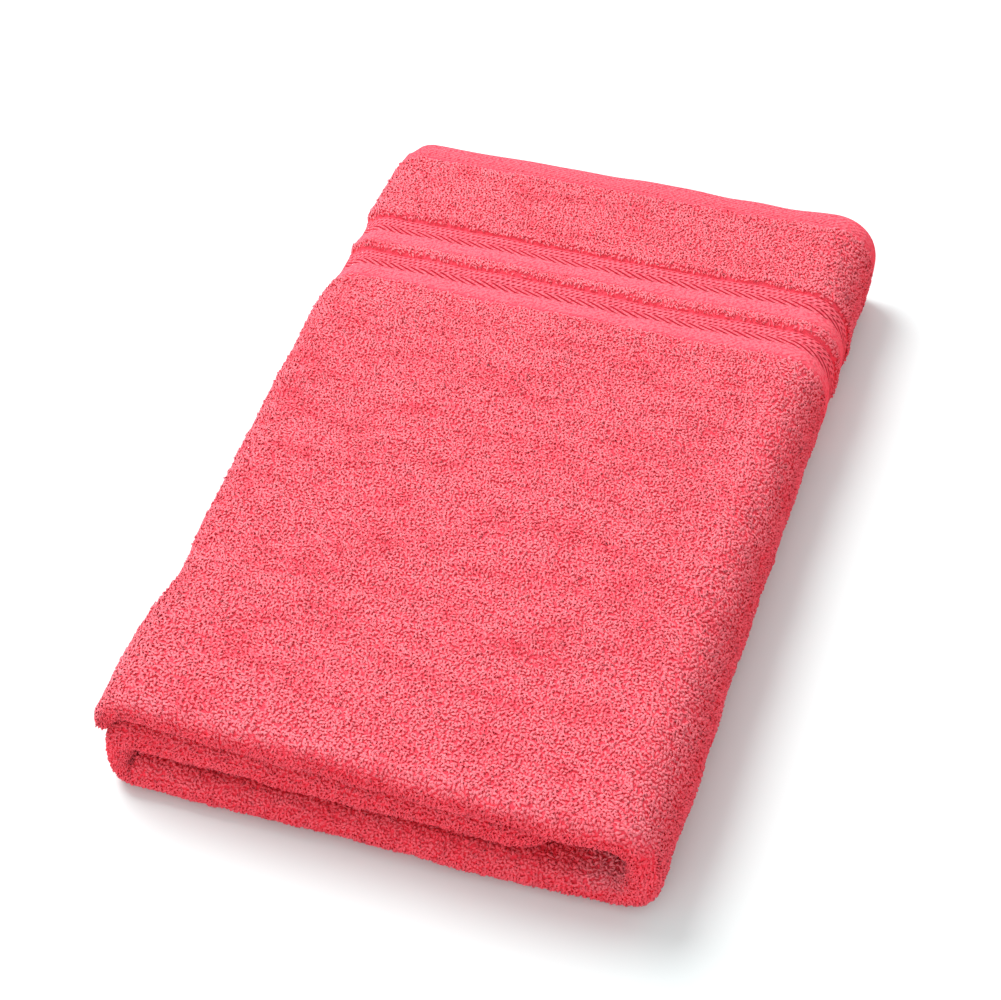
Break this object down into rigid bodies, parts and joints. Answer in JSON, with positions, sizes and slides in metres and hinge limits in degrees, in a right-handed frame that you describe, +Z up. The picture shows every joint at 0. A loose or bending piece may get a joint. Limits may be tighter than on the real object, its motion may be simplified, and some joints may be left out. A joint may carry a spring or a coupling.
{
  "type": "folded terry bath towel",
  "caption": "Terry bath towel folded into a flat rectangular stack, with woven borders near the hem, that lies on a shelf or bench ready for use.",
  "frame": {"origin": "centre of the towel's bounding box in plan, on the surface it lies on", "axes": "+X across the folded towel towards its large side fold, +Y from the folded front to the hems, +Z up"},
  "size_m": [0.2466, 0.3682, 0.0491],
  "materials": {
    "cotton": "coral terry loops, matt"
  },
  "bodies": {
    "root": {"towel": "cotton"}
  },
  "joints": []
}
